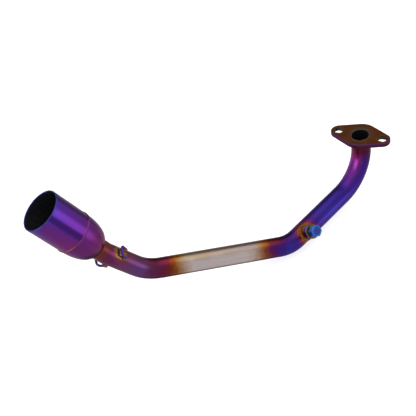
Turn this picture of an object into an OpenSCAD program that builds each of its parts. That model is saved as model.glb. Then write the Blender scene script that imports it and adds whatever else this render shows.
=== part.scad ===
// Header pipe of a small racing exhaust: a two-bolt port flange, one mandrel-bent tube,
// a sensor bung closed by a plug, a domed reducer, a slip-on tail sleeve and two spring hooks.
// The origin is the centre of the flange's sealing face and +Z points into the engine's port.
// The tube follows a bend table: straight, roll about its own axis, bend, and so on.

/* [Tube] */
// Outside diameter of the header tube
tube_d = 25.4; // [20:0.1:31]
// Wall of the header tube
tube_wall = 1.5; // [1:0.1:2.5]
// Centre-line radius of every mandrel bend
bend_clr = 50; // [40:1:65]
// Straight from the flange's face to the first bend
run_port = 20; // [16:1:40]
// Straight that carries the sensor bung
run_bung = 91; // [60:1:140]
// Long straight under the engine
run_middle = 154; // [90:1:220]
// Straight stub that carries the spring hooks
run_hooks = 43; // [34:1:80]
// Straight neck between the last bend and the reducer
run_neck = 12.5; // [8:0.5:30]

/* [Bends] */
// Turn of the first bend, degrees
bend_port = 86; // [60:1:100]
// Turn of the second bend, degrees
bend_under = 32; // [15:1:60]
// Turn of the third bend, degrees
bend_rise = 40; // [15:1:60]
// Turn of the last bend, degrees
bend_tail = 9; // [4:1:20]
// Roll of the bend plane before the second bend, degrees
roll_under = 55; // [0:1:90]
// Roll of the bend plane before the third bend, degrees
roll_rise = -63; // [-90:1:0]
// Roll of the bend plane before the last bend, degrees
roll_tail = 25; // [-45:1:45]

/* [Port flange] */
// Distance between the two stud holes
stud_pitch = 60; // [52:1:76]
// Diameter of each stud hole
stud_hole_d = 12; // [8:0.5:13]
// Thickness of the flange plate
flange_t = 6; // [4:0.5:9]
// Diameter of the plate's middle lobe
flange_mid_d = 45; // [40:1:54]
// Radius of the plate round each stud hole
flange_ear_r = 10.3; // [9:0.1:14]
// Turn of the stud line from +X, degrees
stud_line = 104; // [60:1:140]
// Depth of the tube's end below the sealing face
tube_set = 1.4; // [0.6:0.1:3]
// Leg of the fillet weld under the plate
flange_weld_leg = 3.2; // [2:0.1:5]

/* [Sensor bung] */
// Outside diameter of the bung
bung_d = 18; // [16:0.5:20]
// Height of the bung's seat above the tube
bung_h = 12; // [8:0.5:16]
// Diameter of the bung's threaded bore
bung_bore_d = 12; // [10:0.5:13]
// Distance of the bung's axis back from the second bend
bung_back = 10; // [10:1:30]
// Turn of the bung round the tube, degrees
bung_turn = 307; // [240:1:360]
// Diameter of the hole in the tube wall under the bung
bung_port_d = 9; // [6:0.5:10]
// Reach of the weld round the bung's foot
bung_weld_leg = 2.4; // [1.5:0.1:3]

/* [Plug and washer] */
// Width across the flats of the plug's hexagon
plug_af = 14; // [13:0.5:19]
// Height of the plug's hexagon
plug_hex_h = 8.5; // [6:0.5:12]
// Height of the turned collar under the hexagon
plug_collar_h = 1; // [0.6:0.1:2]
// Length of the plug's shank below the washer and the collar
plug_shank_l = 11.5; // [8:0.5:13]
// Radial clearance between the plug's shank and the bung's bore
thread_clear = 0.08; // [0.03:0.01:0.1]
// Outside diameter of the washer
washer_d = 18.4; // [16:0.1:20]
// Thickness of the washer
washer_t = 1.5; // [1:0.1:2.5]

/* [Reducer and sleeve] */
// Outside diameter of the tail sleeve and of the reducer's big end
sleeve_d = 50.8; // [44:0.1:62]
// Wall of the sleeve and of the reducer
sleeve_wall = 1.5; // [1:0.1:2.5]
// Length of the sleeve from its mouth to the middle of the seam
sleeve_l = 49; // [35:1:80]
// Straight collar of the reducer next to the seam
dome_collar = 1.6; // [1.4:0.1:6]
// Length of the reducer's curved part
dome_l = 35; // [24:1:50]
// Length of tube that stands inside the reducer
tube_inside = 3; // [1:0.5:8]
// Width of the weld bead in the seam
seam_w = 2.4; // [1.6:0.1:3]
// Height of the seam bead above the sleeve
seam_h = 0.7; // [0.3:0.1:1.2]
// Leg of the weld between the tube and the reducer
neck_weld_leg = 2.6; // [1.5:0.1:4]

/* [Spring hooks] */
// Diameter of the hooks' wire
hook_wire_d = 3; // [2.5:0.1:4]
// Distance between the middles of a hook's two legs
hook_w = 13; // [10:0.5:16]
// Length of a hook from its feet to the middle of its cross wire
hook_l = 9.5; // [8:0.5:14]
// Radius of a hook's two corners, to the middle of the wire
hook_corner_r = 3.6; // [2.5:0.1:4.5]
// Lift of the hooks' plane from the tube, degrees
hook_lift = 20; // [10:1:45]
// Distance of the upper hook's feet from the third bend
upper_hook_at = 26; // [10:1:30]
// Turn of the upper hook round the tube, degrees
upper_hook_turn = 346; // [300:1:400]
// Distance of the lower hook's feet back from the last bend
lower_hook_back = 4; // [2:1:20]
// Turn of the lower hook round the tube, degrees
lower_hook_turn = 180; // [120:1:240]
// Length of the weld bead on each foot
foot_weld_l = 4.5; // [3:0.1:6]
// Radius of the weld bead on each foot
foot_weld_r = 2.5; // [2.2:0.1:3]

/* [Hidden] */
$fn = 96;
tube_r = tube_d / 2;
bore_r = tube_r - tube_wall;
runs = [run_port, run_bung, run_middle, run_hooks];
rolls = [0, roll_under, roll_rise, roll_tail];
bends = [bend_port, bend_under, bend_rise, bend_tail];
last = len(runs);
sleeve_r = sleeve_d / 2;
dome_end = run_neck;
dome_start = dome_end + dome_l;
seam_at = dome_start + dome_collar;
mouth_at = seam_at + sleeve_l;
tube_tail = run_neck + sleeve_wall + tube_inside;
bung_r = bung_d / 2;
bung_seat = tube_r + bung_h;
shank_r = bung_bore_d / 2 - thread_clear;
washer_bore_r = shank_r + 0.3;
collar_r = plug_af / 2 - 0.1;
wire_r = hook_wire_d / 2;
foot_off = sqrt(pow(tube_r + wire_r, 2) - pow(hook_w / 2, 2));
chamfer = 1.4;
eps = 0.01;

// Frame carried past one straight, its roll and its bend. Z runs along the tube.
module past(k) {
  translate([0, 0, runs[k]])
    rotate([0, 0, rolls[k]])
      translate([bend_clr, 0, 0])
        rotate([0, bends[k], 0])
          translate([-bend_clr, 0, 0])
            children();
}

// Frame at the start of straight i, counted from the flange.
module along(i) {
  if (i == 0) rotate([0, 180, 0]) children();
  else along(i - 1) past(i - 1) children();
}

// Solid bend of radius r at the end of straight k, in that straight's frame.
module elbow(k, r) {
  translate([0, 0, runs[k]])
    rotate([0, 0, rolls[k]])
      translate([bend_clr, 0, 0])
        rotate([-90, 0, 0])
          rotate([0, 0, 180])
            rotate_extrude(angle = bends[k])
              translate([bend_clr, 0])
                circle(r = r);
}

// One hollow bend of the tube, after straight k.
module tube_bend(k) {
  color([0.36, 0.22, 0.55])
    along(k)
      difference() {
        elbow(k, tube_r);
        elbow(k, bore_r);
      }
}

// One hollow straight of the tube, from z0 to z1 in the frame of straight i.
module tube_straight(i, z0, z1) {
  color([0.42, 0.3, 0.55])
    along(i)
      difference() {
        translate([0, 0, z0]) cylinder(r = tube_r, h = z1 - z0);
        translate([0, 0, z0 - 1]) cylinder(r = bore_r, h = z1 - z0 + 2);
      }
}

// Frame of the sensor bung: Z runs out from the tube's centre line.
module at_bung() {
  along(1)
    translate([0, 0, run_bung - bung_back])
      rotate([0, 0, bung_turn])
        rotate([0, 90, 0])
          children();
}

// Rod of radius r along the bung's straight, a little past its end.
module bung_bed(r) {
  along(1) cylinder(r = r, h = run_bung + 3);
}

// The tube's own outside along the hooks' straight, a little past its end.
module hook_bed() {
  along(3) cylinder(r = tube_r, h = run_hooks + 3);
}

// Frame of a hook's feet: X runs out from the tube, Z along it towards the sleeve.
module at_hook(z, turn) {
  along(3)
    translate([0, 0, z])
      rotate([0, 0, turn])
        children();
}

// Frame of a hook's own plane: Z runs along its legs, Y across them.
module hook_plane() {
  translate([foot_off, 0, 0])
    rotate([0, hook_lift, 0])
      children();
}

// Frame of the sleeve's mouth: Z points out of the mouth.
module at_mouth() {
  along(last) translate([0, 0, mouth_at]) children();
}

// Plate outline: a middle disc and two ears, joined by their common tangents.
module plate_outline() {
  mid_r = flange_mid_d / 2;
  reach = stud_pitch / 2;
  lean = asin((mid_r - flange_ear_r) / reach);
  mid_x = mid_r * sin(lean);
  mid_y = mid_r * cos(lean);
  ear_x = reach + flange_ear_r * sin(lean);
  ear_y = flange_ear_r * cos(lean);
  circle(r = mid_r);
  for (side = [1, -1])
    translate([side * reach, 0]) circle(r = flange_ear_r);
  polygon([[ear_x, ear_y], [mid_x, mid_y], [-mid_x, mid_y], [-ear_x, ear_y],
           [-ear_x, -ear_y], [-mid_x, -mid_y], [mid_x, -mid_y], [ear_x, -ear_y]]);
}

module flange_plate() {
  color([0.42, 0.22, 0.12])
    difference() {
      rotate([0, 0, stud_line])
        translate([0, 0, -flange_t])
          linear_extrude(height = flange_t)
            plate_outline();
      translate([0, 0, -flange_t - 1]) cylinder(r = tube_r, h = flange_t + 2);
      translate([0, 0, -chamfer]) cylinder(r1 = tube_r, r2 = tube_r + chamfer + 1, h = chamfer + 1);
      for (side = [0, 180])
        rotate([0, 0, stud_line + side])
          translate([stud_pitch / 2, 0, -flange_t - 1])
            cylinder(d = stud_hole_d, h = flange_t + 2);
    }
}

// Fillet ring whose section is a triangle with a slightly hollow face.
module fillet_ring(r, leg) {
  rotate_extrude()
    polygon([[r, 0], [r + leg, 0], [r + leg * 0.42, leg * 0.42], [r, leg]]);
}

module flange_weld() {
  color([0.55, 0.28, 0.2])
    translate([0, 0, -flange_t])
      rotate([180, 0, 0])
        fillet_ring(tube_r, flange_weld_leg);
}

// The header tube is one bent tube. Its straights and bends meet end to end, each a module.
module port_tube() { tube_straight(0, tube_set, runs[0]); }
module port_bend() { tube_bend(0); }
module second_bend() { tube_bend(1); }
module middle_tube() { tube_straight(2, 0, runs[2]); }
module third_bend() { tube_bend(2); }
module hook_tube() { tube_straight(3, 0, runs[3]); }
module tail_bend() { tube_bend(3); }
module tail_tube() { tube_straight(last, 0, tube_tail); }

module bung_tube() {
  difference() {
    tube_straight(1, 0, runs[1]);
    at_bung() cylinder(d = bung_port_d, h = tube_r + 2);
  }
}

module sensor_bung() {
  color([0.55, 0.45, 0.7])
    difference() {
      at_bung() cylinder(r = bung_r, h = bung_seat);
      at_bung() cylinder(d = bung_bore_d, h = bung_seat + 1);
      bung_bed(tube_r);
    }
}

// The bead fills what lies close to both the tube's skin and the bung's side.
module bung_weld() {
  color([0.62, 0.4, 0.16])
    difference() {
      intersection() {
        at_bung() cylinder(r = bung_r + bung_weld_leg, h = bung_seat);
        bung_bed(tube_r + bung_weld_leg);
      }
      at_bung() cylinder(r = bung_r, h = bung_seat + 1);
      bung_bed(tube_r);
    }
}

module plug_washer() {
  color([0.6, 0.42, 0.2])
    at_bung()
      translate([0, 0, bung_seat])
        difference() {
          cylinder(d = washer_d, h = washer_t);
          translate([0, 0, -1]) cylinder(r = washer_bore_r, h = washer_t + 2);
        }
}

module bung_plug() {
  color([0.12, 0.25, 0.75])
    at_bung()
      translate([0, 0, bung_seat + washer_t]) {
        translate([0, 0, -plug_shank_l]) cylinder(r = shank_r, h = plug_shank_l + eps);
        cylinder(r = collar_r, h = plug_collar_h + eps);
        translate([0, 0, plug_collar_h])
          intersection() {
            cylinder(d = plug_af / cos(30), h = plug_hex_h, $fn = 6);
            cylinder(r1 = plug_af / 2 + plug_hex_h * 1.7, r2 = plug_af / 2 - 0.3, h = plug_hex_h);
          }
      }
}

// Section of the reducer's curve, from its big end to the tube, at wall depth w.
function dome_curve(w, n) = [
  for (k = [0:n])
    let (a = 90 * k / n)
      [tube_r + (sleeve_r - w - tube_r) * cos(a), dome_start - (dome_l - w) * sin(a)]
];

module reducer_dome() {
  outer = dome_curve(0, 24);
  inner = dome_curve(sleeve_wall, 24);
  top = seam_at - seam_w / 2;
  color([0.42, 0.12, 0.4])
    along(last)
      rotate_extrude()
        polygon(concat(
          [[sleeve_r - sleeve_wall, top], [sleeve_r, top]],
          outer,
          [for (k = [len(inner) - 1:-1:0]) inner[k]]
        ));
}

module neck_weld() {
  color([0.5, 0.28, 0.12])
    along(last)
      translate([0, 0, dome_end])
        rotate([180, 0, 0])
          fillet_ring(tube_r, neck_weld_leg);
}

module tail_sleeve() {
  color([0.38, 0.12, 0.55])
    at_mouth()
      rotate([180, 0, 0])
        difference() {
          cylinder(r = sleeve_r, h = sleeve_l - seam_w / 2);
          translate([0, 0, -1]) cylinder(r = sleeve_r - sleeve_wall, h = sleeve_l + 1);
        }
}

// Butt bead between the sleeve and the reducer, with a low round crown.
module seam_weld() {
  color([0.6, 0.2, 0.4])
    along(last)
      translate([0, 0, seam_at])
        rotate_extrude()
          polygon(concat(
            [[sleeve_r - sleeve_wall, seam_w / 2], [sleeve_r - sleeve_wall, -seam_w / 2]],
            [for (k = [0:8]) [sleeve_r + seam_h * sin(180 * k / 8), seam_w * (k / 8 - 0.5)]]
          ));
}

// One leg, one corner and half of the cross wire.
module hook_half(side) {
  straight = hook_l - hook_corner_r;
  translate([0, side * hook_w / 2, 0]) cylinder(r = wire_r, h = straight);
  translate([0, side * (hook_w / 2 - hook_corner_r), straight])
    rotate([90, 0, 90])
      rotate([0, 0, side > 0 ? 0 : 90])
        rotate_extrude(angle = 90)
          translate([hook_corner_r, 0])
            circle(r = wire_r);
  translate([0, 0, hook_l])
    rotate([-90 * side, 0, 0])
      cylinder(r = wire_r, h = hook_w / 2 - hook_corner_r);
}

module spring_hook() {
  hook_plane() {
    hook_half(1);
    hook_half(-1);
  }
}

// Two beads that lie in the corner between the feet and the tube.
module foot_welds() {
  difference() {
    for (side = [1, -1])
      translate([foot_off - wire_r * 0.5, side * hook_w / 2, -foot_weld_l * 0.25]) {
        cylinder(r = foot_weld_r, h = foot_weld_l);
        sphere(r = foot_weld_r);
        translate([0, 0, foot_weld_l]) sphere(r = foot_weld_r);
      }
    spring_hook();
  }
}

module upper_spring_hook() {
  color([0.35, 0.15, 0.65])
    at_hook(upper_hook_at, upper_hook_turn)
      spring_hook();
}

module upper_hook_welds() {
  color([0.7, 0.5, 0.25])
    difference() {
      at_hook(upper_hook_at, upper_hook_turn) foot_welds();
      hook_bed();
    }
}

module lower_spring_hook() {
  color([0.3, 0.12, 0.5])
    at_hook(run_hooks - lower_hook_back, lower_hook_turn)
      spring_hook();
}

module lower_hook_welds() {
  color([0.7, 0.45, 0.25])
    difference() {
      at_hook(run_hooks - lower_hook_back, lower_hook_turn) foot_welds();
      hook_bed();
    }
}

flange_plate();
flange_weld();
port_tube();
port_bend();
bung_tube();
second_bend();
middle_tube();
third_bend();
hook_tube();
tail_bend();
tail_tube();
sensor_bung();
bung_weld();
plug_washer();
bung_plug();
reducer_dome();
neck_weld();
tail_sleeve();
seam_weld();
upper_spring_hook();
upper_hook_welds();
lower_spring_hook();
lower_hook_welds();
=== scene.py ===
"""Looks of a heat-tinted exhaust header pipe: port flange, bent tube, plugged sensor bung,
domed reducer, tail sleeve and spring hooks. Lengths are in millimetres until a mesh is made."""
import math

import bmesh
import bpy
import numpy as np
from mathutils import Matrix


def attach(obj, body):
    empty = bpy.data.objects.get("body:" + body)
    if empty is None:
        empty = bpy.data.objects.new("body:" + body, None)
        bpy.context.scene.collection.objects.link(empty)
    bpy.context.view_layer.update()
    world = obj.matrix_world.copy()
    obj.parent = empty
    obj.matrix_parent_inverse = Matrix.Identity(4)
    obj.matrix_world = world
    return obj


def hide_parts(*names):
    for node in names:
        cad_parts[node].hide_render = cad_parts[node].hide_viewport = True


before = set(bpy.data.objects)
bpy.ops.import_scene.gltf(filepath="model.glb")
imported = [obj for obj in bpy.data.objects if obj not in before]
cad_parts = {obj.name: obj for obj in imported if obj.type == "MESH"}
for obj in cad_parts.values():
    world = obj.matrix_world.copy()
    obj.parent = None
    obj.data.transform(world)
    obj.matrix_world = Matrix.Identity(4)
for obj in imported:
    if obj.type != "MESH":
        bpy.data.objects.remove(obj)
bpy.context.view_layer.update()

# ---------------------------------------------------------------- sizes, as in the CAD part
TUBE_R, BORE_R = 12.7, 11.2
CLR = 50.0  # radius of every bend's centre line
RUNS = [20.0, 91.0, 154.0, 43.0]
BENDS = [math.radians(a) for a in (86, 32, 40, 9)]
ROLLS = [math.radians(a) for a in (0, 55, -63, 25)]
NECK, DOME_L, COLLAR, SLEEVE_L = 12.5, 35.0, 1.6, 49.0
SLEEVE_R, SHEET = 25.4, 1.5
SEAM_AT = NECK + DOME_L + COLLAR
MOUTH_AT = SEAM_AT + SLEEVE_L
TUBE_SET, FLANGE_T, FLANGE_LEG = 1.4, 6.0, 3.2
PLATE_MID_R, PLATE_EAR_R = 22.5, 10.3
STUD_REACH, STUD_R, STUD_BREAK = 30.0, 6.0, 0.35
STUD_LINE = math.radians(104)
BUNG_BACK, BUNG_TURN, BUNG_R, BUNG_SEAT = 10.0, math.radians(307), 9.0, 24.7
BUNG_FLOOR, BUNG_BREAK = 13.2, 0.5  # height of the thread's lower end, and the rim's broken edge
THREAD_P = 1.25
WASHER_T, WASHER_IN, WASHER_OUT = 1.5, 6.22, 9.2
PLUG_APOTHEM, PLUG_HEAD, PLUG_COLLAR = 7.0, 8.5, 1.0
SHANK_R, SHANK_L, THREAD_DEPTH = 5.92, 10.9, 0.55
NECK_LEG = 2.6
HOOKS = {"upper": (26.0, math.radians(346)), "lower": (39.0, math.radians(180))}
HOOK_W, HOOK_L, HOOK_C, WIRE_R, LIFT = 13.0, 9.5, 3.6, 1.5, math.radians(20)
HOOK_HEAT = {"upper": 8.0, "lower": 3.0}  # middle of each hook's heat patch, past its feet
HOOK_STRAIGHT = 3
TUBE_NODES = ["port_tube", "port_bend", "bung_tube", "second_bend", "middle_tube",
              "third_bend", "hook_tube", "tail_bend", "tail_tube"]
FLOOR_Z = -0.0945  # metres


# ---------------------------------------------------------------- frames along the bend table
def turn(v, axis, angle):
    """Rodrigues: v turned about a unit axis by each angle of an array."""
    a = np.atleast_1d(angle)[:, None]
    return v * np.cos(a) + np.cross(axis, v) * np.sin(a) + axis * (v @ axis) * (1 - np.cos(a))


def unit(v):
    """Each vector of an array divided by its length."""
    return v / np.linalg.norm(v, axis=-1, keepdims=True)


def bend_table():
    """Point, heading, bend side and carried side at the start of each straight, with its run."""
    p, t, u, c = (np.array(v, float) for v in ([0, 0, 0], [0, 0, -1], [-1, 0, 0], [-1, 0, 0]))
    rows, run = [(p, t, u, c, 0.0)], 0.0
    for length, roll, bend in zip(RUNS, ROLLS, BENDS):
        u = turn(u, t, roll)[0]
        axis = np.cross(t, u)
        p = p + t * length + u * CLR * (1 - math.cos(bend)) + t * CLR * math.sin(bend)
        t, u, c = (turn(v, axis, bend)[0] for v in (t, u, c))
        run += length + CLR * bend
        rows.append((p, t, u, c, run))
    return rows


ROWS = bend_table()
TAIL_P, TAIL_T, _, TAIL_C, TAIL_RUN = ROWS[-1]


def tube_path(z0, z1, step=3.0, fine=math.radians(2)):
    """Centre line from z0 on the first straight to z1 on the last: points, headings, carried
    sides and the run, a length along the line. A bend is the arc p + CLR (1 - cos a) u + CLR sin a t."""
    pts, heads, sides, runs = [], [], [], []
    for k, (p, t, u, c, run) in enumerate(ROWS):
        last = k == len(RUNS)
        lo, hi = (z0 if k == 0 else 0.0), (z1 if last else RUNS[k])
        z = np.linspace(lo, hi, max(2, int((hi - lo) / step)))
        z = z if last else z[:-1]
        pts.append(p + t * z[:, None])
        heads.append(np.repeat(t[None], len(z), 0))
        sides.append(np.repeat(c[None], len(z), 0))
        runs.append(run + z)
        if last:
            break
        u = turn(u, t, ROLLS[k])[0]
        axis = np.cross(t, u)
        a = np.linspace(0, BENDS[k], max(3, int(BENDS[k] / fine)), endpoint=False)
        q = p + t * RUNS[k]
        pts.append(q + u * CLR * (1 - np.cos(a))[:, None] + t * CLR * np.sin(a)[:, None])
        heads.append(turn(t, axis, a))
        sides.append(turn(c, axis, a))
        runs.append(run + RUNS[k] + CLR * a)
    return [np.concatenate(v) for v in (pts, heads, sides, runs)]


# ---------------------------------------------------------------- surfaces to meshes
def carried(path, heads, sides, radius, run, around=96):
    """P(i, j) = path_i + r_i (cos f_j side_i + sin f_j (head x side)_i), with UV (f / turn, run)."""
    f = np.linspace(0, 2 * np.pi, around + 1)
    up = np.cross(heads, sides)
    radius = np.broadcast_to(np.asarray(radius, float), (len(path),))[:, None, None] \
        if np.ndim(radius) < 2 else np.asarray(radius)[:, :, None]
    ring = np.cos(f)[None, :, None] * sides[:, None] + np.sin(f)[None, :, None] * up[:, None]
    uv = np.stack(np.broadcast_arrays(f[None] / (2 * np.pi), np.asarray(run)[:, None] / 1000), -1)
    return path[:, None] + radius * ring, uv


def turned(profile, origin, axis, side, run0=0.0, around=128, shape=None):
    """A profile of (r, z) rows turned about an axis: P = origin + z axis + r (cos f side + sin f up).
    shape(r, z, f) may change the radius with the angle. UV is (f / turn, run0 + z)."""
    f = np.linspace(0, 2 * np.pi, around + 1)
    r, z = np.asarray(profile, float).T
    rr = np.repeat(r[:, None], len(f), 1)
    if shape is not None:
        rr = shape(rr, z[:, None], f[None])
    up = np.cross(axis, side)
    ring = np.cos(f)[None, :, None] * side + np.sin(f)[None, :, None] * up
    uv = np.stack(np.broadcast_arrays(f[None] / (2 * np.pi), (run0 + z)[:, None] / 1000), -1)
    return origin + z[:, None, None] * axis + rr[:, :, None] * ring, uv


def make_piece(name, grids, body, nodes, materials, sharp=35, pick=None):
    """One closed mesh from grids of points; every grid is rows by columns of quads."""
    verts, faces, uvs, mats, base = [], [], [], [], 0
    for n, (g, uv) in enumerate(grids):
        rows, cols = g.shape[:2]
        i = np.arange(rows * cols).reshape(rows, cols) + base
        q = np.stack([i[:-1, :-1], i[:-1, 1:], i[1:, 1:], i[1:, :-1]], -1).reshape(-1, 4)
        faces.append(q)
        uvs.append(uv.reshape(-1, 2)[q - base].reshape(-1, 2))
        mats.append(np.full(len(q), pick[n] if pick else 0))
        verts.append(g.reshape(-1, 3))
        base += rows * cols
    mesh = bpy.data.meshes.new(name)
    v, q = np.concatenate(verts) / 1000, np.concatenate(faces)
    mesh.vertices.add(len(v))
    mesh.vertices.foreach_set("co", v.ravel())
    mesh.loops.add(q.size)
    mesh.loops.foreach_set("vertex_index", q.ravel())
    mesh.polygons.add(len(q))
    mesh.polygons.foreach_set("loop_start", np.arange(0, q.size, 4))
    mesh.polygons.foreach_set("material_index", np.concatenate(mats))
    mesh.uv_layers.new(name="run").data.foreach_set("uv", np.concatenate(uvs).ravel())
    mesh.update(calc_edges=True)
    bm = bmesh.new()
    bm.from_mesh(mesh)
    bmesh.ops.remove_doubles(bm, verts=bm.verts, dist=2e-6)
    bmesh.ops.dissolve_degenerate(bm, edges=bm.edges, dist=1e-7)
    bmesh.ops.recalc_face_normals(bm, faces=bm.faces)
    bm.to_mesh(mesh)
    bm.free()
    mesh.shade_smooth()
    mesh.set_sharp_from_angle(angle=math.radians(sharp))
    for m in materials:
        mesh.materials.append(m)
    piece = bpy.data.objects.new(name, mesh)
    bpy.context.scene.collection.objects.link(piece)
    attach(piece, body)
    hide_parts(*nodes)
    return piece


def arc(cx, cz, r, a0, a1, n=5):
    """Rounded corner of a profile: (cx + r cos a, cz + r sin a) in degrees."""
    a = np.radians(np.linspace(a0, a1, n))
    return np.stack([cx + r * np.cos(a), cz + r * np.sin(a)], 1)


def line(p, q, n):
    """n points of the straight (1 - s) p + s q."""
    s = np.linspace(0, 1, n)[:, None]
    return (1 - s) * np.array(p, float) + s * np.array(q, float)


def ripple(along, across, pitch, depth):
    """Stacked weld crescents: a saw wave along the bead whose front bows with the place across it."""
    phase = (along / pitch + 0.55 * across ** 2) % 1.0
    return depth * (phase ** 0.6 - 0.55)


# ---------------------------------------------------------------- finishes
def ramp_node(tree, stops):
    """Eased colour ramp with the given (place, colour) stops."""
    node = tree.nodes.new("ShaderNodeValToRGB")
    ramp = node.color_ramp
    ramp.interpolation = "EASE"
    while len(ramp.elements) > 1:
        ramp.elements.remove(ramp.elements[-1])
    ramp.elements[0].position = stops[0][0]
    ramp.elements[0].color = (*stops[0][1], 1)
    for place, colour in stops[1:]:
        ramp.elements.new(place).color = (*colour, 1)
    return node


class Finish:
    """A node material built step by step; every step returns a socket."""

    def __init__(self, name, roughness, metallic=1.0):
        self.mat = bpy.data.materials.new(name)
        self.mat.use_nodes = True
        self.tree = self.mat.node_tree
        self.shader = self.tree.nodes["Principled BSDF"]
        self.shader.inputs["Metallic"].default_value = metallic
        self.shader.inputs["Roughness"].default_value = roughness
        self.coords = self.tree.nodes.new("ShaderNodeTexCoord")
        self.uv_node = self.tree.nodes.new("ShaderNodeUVMap")
        self.uv_node.uv_map = "run"

    def link(self, a, b):
        """Wire output a to input b."""
        self.tree.links.new(a, b)

    def put(self, socket, value):
        """Feed a socket from another socket, or set it."""
        if isinstance(value, bpy.types.NodeSocket):
            self.link(value, socket)
        else:
            socket.default_value = value

    def math(self, op, a, b=None, c=None):
        """One sum on up to three values."""
        node = self.tree.nodes.new("ShaderNodeMath")
        node.operation = op
        for socket, value in zip(node.inputs, (a, b, c)):
            if value is not None:
                self.put(socket, value)
        return node.outputs[0]

    def spread(self, value, lo, hi, to_lo=0.0, to_hi=1.0, smooth=False):
        """Map lo..hi onto to_lo..to_hi, clamped at both ends."""
        node = self.tree.nodes.new("ShaderNodeMapRange")
        node.interpolation_type = "SMOOTHSTEP" if smooth else "LINEAR"
        for socket, v in zip(node.inputs, (value, lo, hi, to_lo, to_hi)):
            self.put(socket, v)
        return node.outputs[0]

    def mix(self, fac, a, b, blend="MIX"):
        """Colour a blended towards colour b."""
        node = self.tree.nodes.new("ShaderNodeMix")
        node.data_type, node.blend_type = "RGBA", blend
        for socket, v in ((node.inputs[0], fac), (node.inputs[6], a), (node.inputs[7], b)):
            self.put(socket, v if isinstance(v, (bpy.types.NodeSocket, float)) else (*v, 1))
        return node.outputs[2]

    def noise(self, vector, scale, detail=3.0, rough=0.55):
        """Soft noise around 0.5 over a vector."""
        node = self.tree.nodes.new("ShaderNodeTexNoise")
        self.link(vector, node.inputs["Vector"])
        node.inputs["Scale"].default_value = scale
        node.inputs["Detail"].default_value = detail
        node.inputs["Roughness"].default_value = rough
        return node.outputs["Fac"]

    def scaled(self, vector, factors):
        """Vector stretched along each axis."""
        node = self.tree.nodes.new("ShaderNodeVectorMath")
        node.operation = "MULTIPLY"
        self.link(vector, node.inputs[0])
        node.inputs[1].default_value = factors
        return node.outputs[0]

    def uv(self):
        """Turn round the piece from 0 to 1, and the run along it in metres."""
        node = self.tree.nodes.new("ShaderNodeSeparateXYZ")
        self.link(self.uv_node.outputs[0], node.inputs[0])
        return node.outputs[0], node.outputs[1]

    def round_vector(self, around=1.0, along=1.0):
        """(cos, sin, run) of the place, so that a pattern meets itself where the turn closes."""
        u, v = self.uv()
        a = self.math("MULTIPLY", u, 2 * math.pi)
        node = self.tree.nodes.new("ShaderNodeCombineXYZ")
        self.link(self.math("MULTIPLY", self.math("COSINE", a), around), node.inputs[0])
        self.link(self.math("MULTIPLY", self.math("SINE", a), around), node.inputs[1])
        self.link(self.math("MULTIPLY", v, along), node.inputs[2])
        return node.outputs[0]

    def ramp(self, fac, stops):
        """Colour of a ramp at fac."""
        node = ramp_node(self.tree, stops)
        self.link(fac, node.inputs[0])
        return node.outputs[0]

    def near(self, point, inner, outer):
        """1 within inner metres of a point, falling smoothly to 0 at outer metres."""
        return self.spread(self.distance(point), inner, outer, 1.0, 0.0, smooth=True)

    def distance(self, point):
        """Metres from a point of the object's own space."""
        node = self.tree.nodes.new("ShaderNodeVectorMath")
        node.operation = "DISTANCE"
        self.link(self.coords.outputs["Object"], node.inputs[0])
        node.inputs[1].default_value = point
        return node.outputs["Value"]

    def finish(self, colour, roughness, heights, depth):
        """Wire up colour, roughness and the sum of the heights as a bump of the given depth."""
        self.put(self.shader.inputs["Base Color"], colour)
        self.put(self.shader.inputs["Roughness"], roughness)
        total = heights[0]
        for h in heights[1:]:
            total = self.math("ADD", total, h)
        bump = self.tree.nodes.new("ShaderNodeBump")
        bump.inputs["Distance"].default_value = depth
        bump.inputs["Strength"].default_value = 1.0
        self.link(total, bump.inputs["Height"])
        self.link(bump.outputs[0], self.shader.inputs["Normal"])
        return self.mat


END = TAIL_RUN + MOUTH_AT
BAND_INDIGO, PLUM_SHADE_BAND = 0.803, 0.986  # middles of the sleeve's darker bands, the plum one painted shade, as shares of a turn


def tint_stops(rows):
    """Stops given in millimetres of run, as shares of the whole run."""
    return [(mm / END, colour) for mm, colour in rows]


def off_tube(k, z, angle, out):
    """Point beside straight k, out from its centre line at a turn from the bend side, in metres."""
    p, t, u = ROWS[k][:3]
    return tuple((p + t * z + turn(u, t, angle)[0] * out) / 1000)


B_P, B_T, B_U = ROWS[1][:3]
BUNG_C = B_P + B_T * (RUNS[1] - BUNG_BACK)
BUNG_N = turn(B_U, B_T, BUNG_TURN)[0]
BUNG_FOOT = off_tube(1, RUNS[1] - BUNG_BACK, BUNG_TURN, TUBE_R)
HOOK_FOOT = {n: off_tube(HOOK_STRAIGHT, z + HOOK_HEAT[n], a, TUBE_R) for n, (z, a) in HOOKS.items()}
BUNG_RINGS = [(0.0105, (0.30, 0.13, 0.04)), (0.0120, (0.42, 0.15, 0.035)), (0.0136, (0.36, 0.05, 0.05)),
              (0.0156, (0.22, 0.03, 0.20)), (0.0180, (0.10, 0.04, 0.42))]
HOOK_RINGS = [(0.0060, (0.44, 0.28, 0.14)), (0.0085, (0.50, 0.22, 0.06)), (0.0102, (0.36, 0.09, 0.08)),
              (0.0122, (0.30, 0.06, 0.20))]


def brushed_heights(f, amount=1.0):
    """Fine lengthwise polishing lines and a slow unevenness of the wall."""
    lines = f.noise(f.round_vector(1.0, 0.35), 55.0, 2.0, 0.5)
    slow = f.noise(f.coords.outputs["Object"], 60.0, 2.0)
    return [f.math("MULTIPLY", lines, 0.10 * amount), f.math("MULTIPLY", slow, 1.6 * amount)]


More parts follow.
